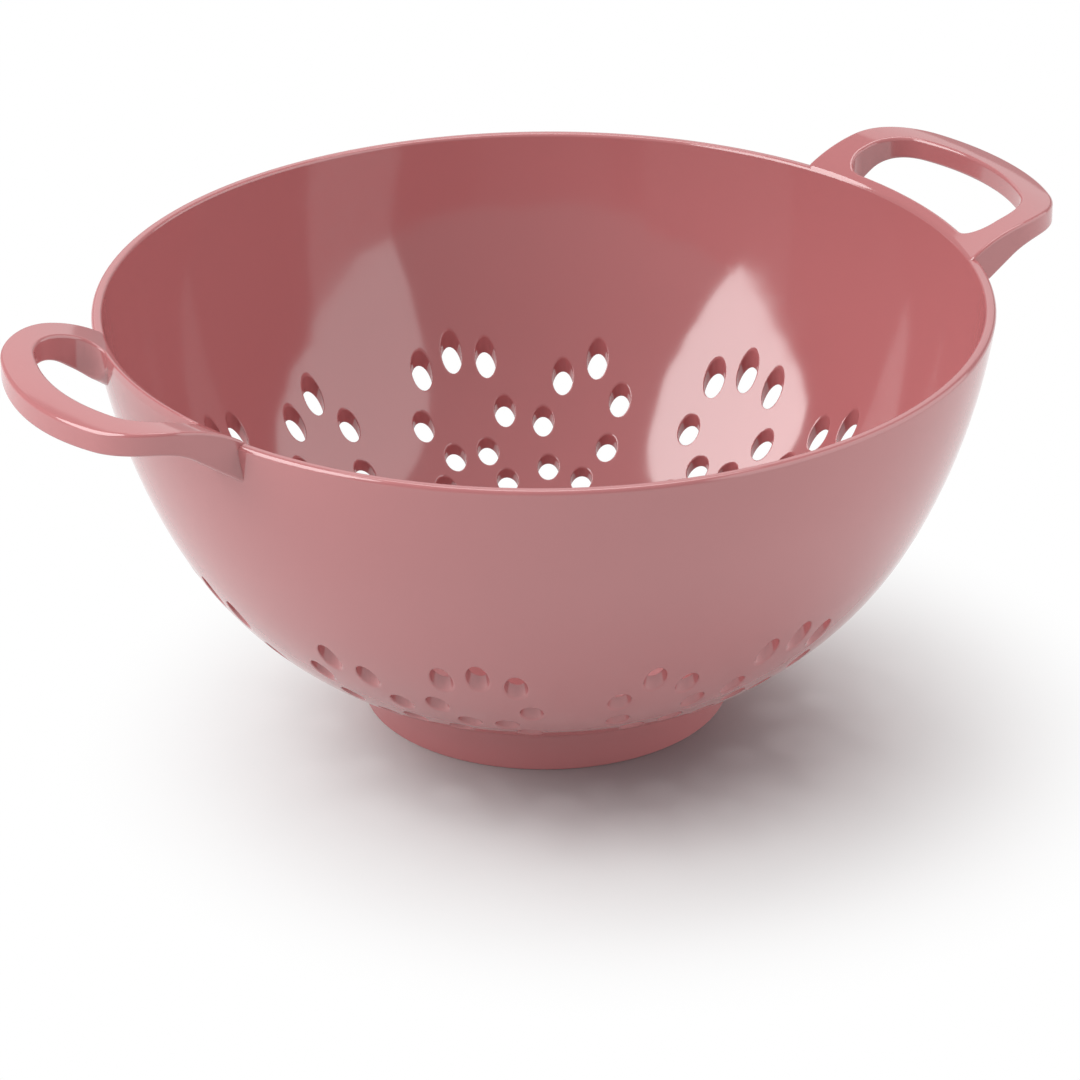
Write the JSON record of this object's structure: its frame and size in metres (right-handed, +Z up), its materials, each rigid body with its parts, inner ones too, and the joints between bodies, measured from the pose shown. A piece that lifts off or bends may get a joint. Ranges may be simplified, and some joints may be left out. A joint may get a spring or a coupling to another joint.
{
  "type": "colander",
  "caption": "Deep round melamine colander on a foot ring, with drain holes in rosettes and two flared loop handles at the rim.",
  "frame": {"origin": "centre of the foot ring's base, on the surface that the colander stands on", "axes": "+Z up along the bowl's axis; the two handles lie on -X and +X"},
  "size_m": [0.3028, 0.2396, 0.1236],
  "materials": {
    "melamine": "glossy moulded melamine, dusty rose all through"
  },
  "bodies": {
    "root": {"rim_lip": "melamine", "upper_wall": "melamine", "drain_wall": "melamine", "drain_floor": "melamine", "foot_ring": "melamine", "handle_left": "melamine", "handle_right": "melamine"}
  },
  "joints": []
}
